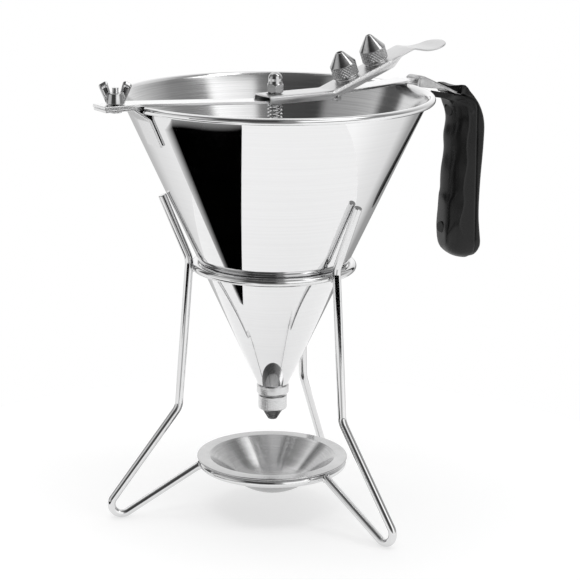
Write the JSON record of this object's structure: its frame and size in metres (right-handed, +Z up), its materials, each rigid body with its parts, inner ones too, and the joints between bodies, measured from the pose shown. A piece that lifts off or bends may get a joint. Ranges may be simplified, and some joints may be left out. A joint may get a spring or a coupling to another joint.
{
  "type": "confectionery funnel",
  "caption": "Hand-held steel dosing funnel with a lever-worked stopper, side handle and spare nozzles on the lever, in a wire stand over a drip bowl.",
  "frame": {"origin": "on the cone's axis at the floor under the stand's feet", "axes": "+X towards the handle, +Z up along the cone's axis"},
  "size_m": [0.2734, 0.1954, 0.2902],
  "materials": {
    "stand_wire": "bright polished wire",
    "bowl_steel": "circular brushed",
    "cone_steel": "mirror polished outside, spun lines inside",
    "turned_steel": "turned",
    "nozzle_steel": "knurled, satin",
    "strip_steel": "polished strip",
    "fastener_steel": "bright fastener",
    "spring_steel": "drawn wire",
    "grip_plastic": "satin black moulded plastic"
  },
  "bodies": {
    "stand": {"stand_leg_left": "stand_wire", "stand_leg_right": "stand_wire", "stand_leg_rear": "stand_wire", "stand_ring": "stand_wire", "bowl_ring": "stand_wire"},
    "bowl": {"drip_bowl": "bowl_steel"},
    "funnel": {"funnel_cone": "cone_steel", "outlet_spigot": "turned_steel", "clamp_bracket": "strip_steel", "clamp_stud": "fastener_steel", "bridge_bar": "strip_steel", "fulcrum_eye": "strip_steel", "handle_tang": "strip_steel", "grip_finger_half": "grip_plastic", "grip_palm_half": "grip_plastic", "grip_screws": "fastener_steel", "grip_plugs": "grip_plastic", "return_spring": "spring_steel"},
    "lever": {"lever": "strip_steel", "lever_pin": "fastener_steel", "nozzle_studs": "turned_steel", "stud_collars": "turned_steel"},
    "plunger": {"plunger_rod": "turned_steel", "rod_stopper": "turned_steel", "cap_nut": "fastener_steel", "spring_washer": "fastener_steel", "spring_pin": "fastener_steel"},
    "wing_nut": {"wing_nut": "fastener_steel"},
    "fitted_nozzle": {"fitted_nozzle": "turned_steel"},
    "spare_nozzle_small": {"spare_nozzle_small": "nozzle_steel"},
    "spare_nozzle_medium": {"spare_nozzle_medium": "nozzle_steel"}
  },
  "joints": [
    {"name": "funnel_lift", "type": "slide", "parent": "stand", "child": "funnel", "axis": [0, 0, 1], "range_m": [0, 0.17]},
    {"name": "bowl_lift", "type": "slide", "parent": "stand", "child": "bowl", "axis": [0, 0, 1], "range_m": [0, 0.02]},
    {"name": "lever_press", "type": "hinge", "parent": "funnel", "child": "lever", "pos_m": [0.0395, 0, 0.2542], "axis": [0, 1, 0], "range_deg": [0, 12]},
    {"name": "plunger_lift", "type": "slide", "parent": "funnel", "child": "plunger", "axis": [0, 0, 1], "range_m": [0, 0.0101], "stiffness_N_per_m": 300, "springref_m": -0.01, "deforming": ["return_spring"]},
    {"name": "wing_nut_turn", "type": "hinge", "parent": "funnel", "child": "wing_nut", "pos_m": [-0.1075, 0, 0.2614], "axis": [0, 0, 1], "continuous": true},
    {"name": "nozzle_turn", "type": "hinge", "parent": "funnel", "child": "fitted_nozzle", "pos_m": [0, 0, 0.07], "axis": [0, 0, 1], "continuous": true},
    {"name": "small_nozzle_turn", "type": "hinge", "parent": "lever", "child": "spare_nozzle_small", "pos_m": [0.0734, 0, 0.2728], "axis": [-0.3502, 0, 0.9367], "continuous": true},
    {"name": "medium_nozzle_turn", "type": "hinge", "parent": "lever", "child": "spare_nozzle_medium", "pos_m": [0.0518, 0, 0.26472], "axis": [-0.3502, 0, 0.9367], "continuous": true}
  ],
  "couplings": [
    {"joint": "plunger_lift", "follows": "lever_press", "m_per_rad": 0.0475}
  ]
}
